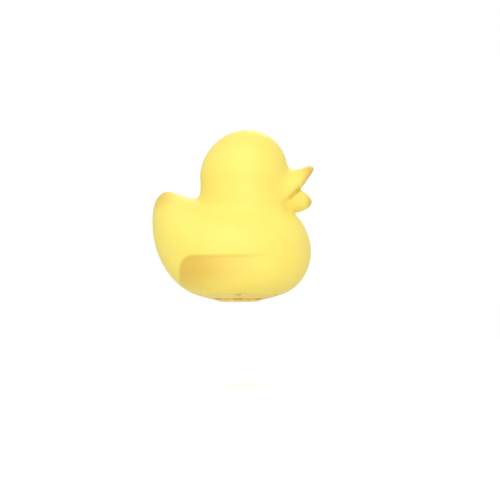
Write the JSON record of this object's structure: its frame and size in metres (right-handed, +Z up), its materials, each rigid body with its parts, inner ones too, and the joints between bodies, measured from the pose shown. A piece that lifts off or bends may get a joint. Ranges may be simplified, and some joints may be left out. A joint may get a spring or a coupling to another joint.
{
  "type": "floating chlorine dispenser",
  "caption": "Duck-shaped floating pool chlorine dispenser with a twist-lock tablet cartridge and a flow ring in its base.",
  "frame": {"origin": "on the axis of the round base, in the plane of the flat foot that the duck rests on", "axes": "+Z up, +X towards the bill, +Y towards the duck's left side"},
  "size_m": [0.2074, 0.1605, 0.2206],
  "materials": {
    "duck_plastic": "satin",
    "base_plastic": "satin",
    "ring_plastic": "satin",
    "basket_plastic": "matt",
    "fitting_plastic": "satin",
    "seal_rubber": "matt",
    "elbow_rubber": "satin",
    "screw_steel": "bright",
    "ballast_steel": "zinc plated",
    "tablet": "pressed powder"
  },
  "bodies": {
    "duck": {"duck_hull": "duck_plastic", "well_cup": "base_plastic", "well_gasket": "seal_rubber", "well_screws": "screw_steel", "ballast_ring": "ballast_steel", "ballast_retainer": "screw_steel", "vent_elbow": "elbow_rubber", "elbow_clips": "screw_steel", "throat_fitting": "fitting_plastic", "throat_seal": "seal_rubber", "throat_nut": "basket_plastic"},
    "cap_seal": {"cap_o_ring": "seal_rubber"},
    "cartridge": {"base_cap": "base_plastic", "foot_hub": "base_plastic", "hub_screws": "screw_steel", "tablet_basket": "basket_plastic"},
    "flow_ring": {"flow_ring": "ring_plastic"},
    "tablets": {"tablet_lower": "tablet", "tablet_middle": "tablet", "tablet_upper": "tablet"}
  },
  "joints": [
    {"name": "cap_drop", "type": "slide", "parent": "duck", "child": "cap_seal", "axis": [0, 0, -1], "range_m": [0, 0.1081]},
    {"name": "cap_turn", "type": "hinge", "parent": "cap_seal", "child": "cartridge", "pos_m": [0, 0, 0], "axis": [0, 0, -1], "range_deg": [0, 1080]},
    {"name": "flow_ring_turn", "type": "hinge", "parent": "cartridge", "child": "flow_ring", "pos_m": [0, 0, 0.005], "axis": [0, 0, 1], "range_deg": [0, 22.5]},
    {"name": "tablets_lift", "type": "slide", "parent": "cartridge", "child": "tablets", "axis": [0, 0, 1], "range_m": [0, 0.0125]}
  ],
  "couplings": [
    {"joint": "cap_drop", "follows": "cap_turn", "m_per_rad": 0.0057296}
  ]
}
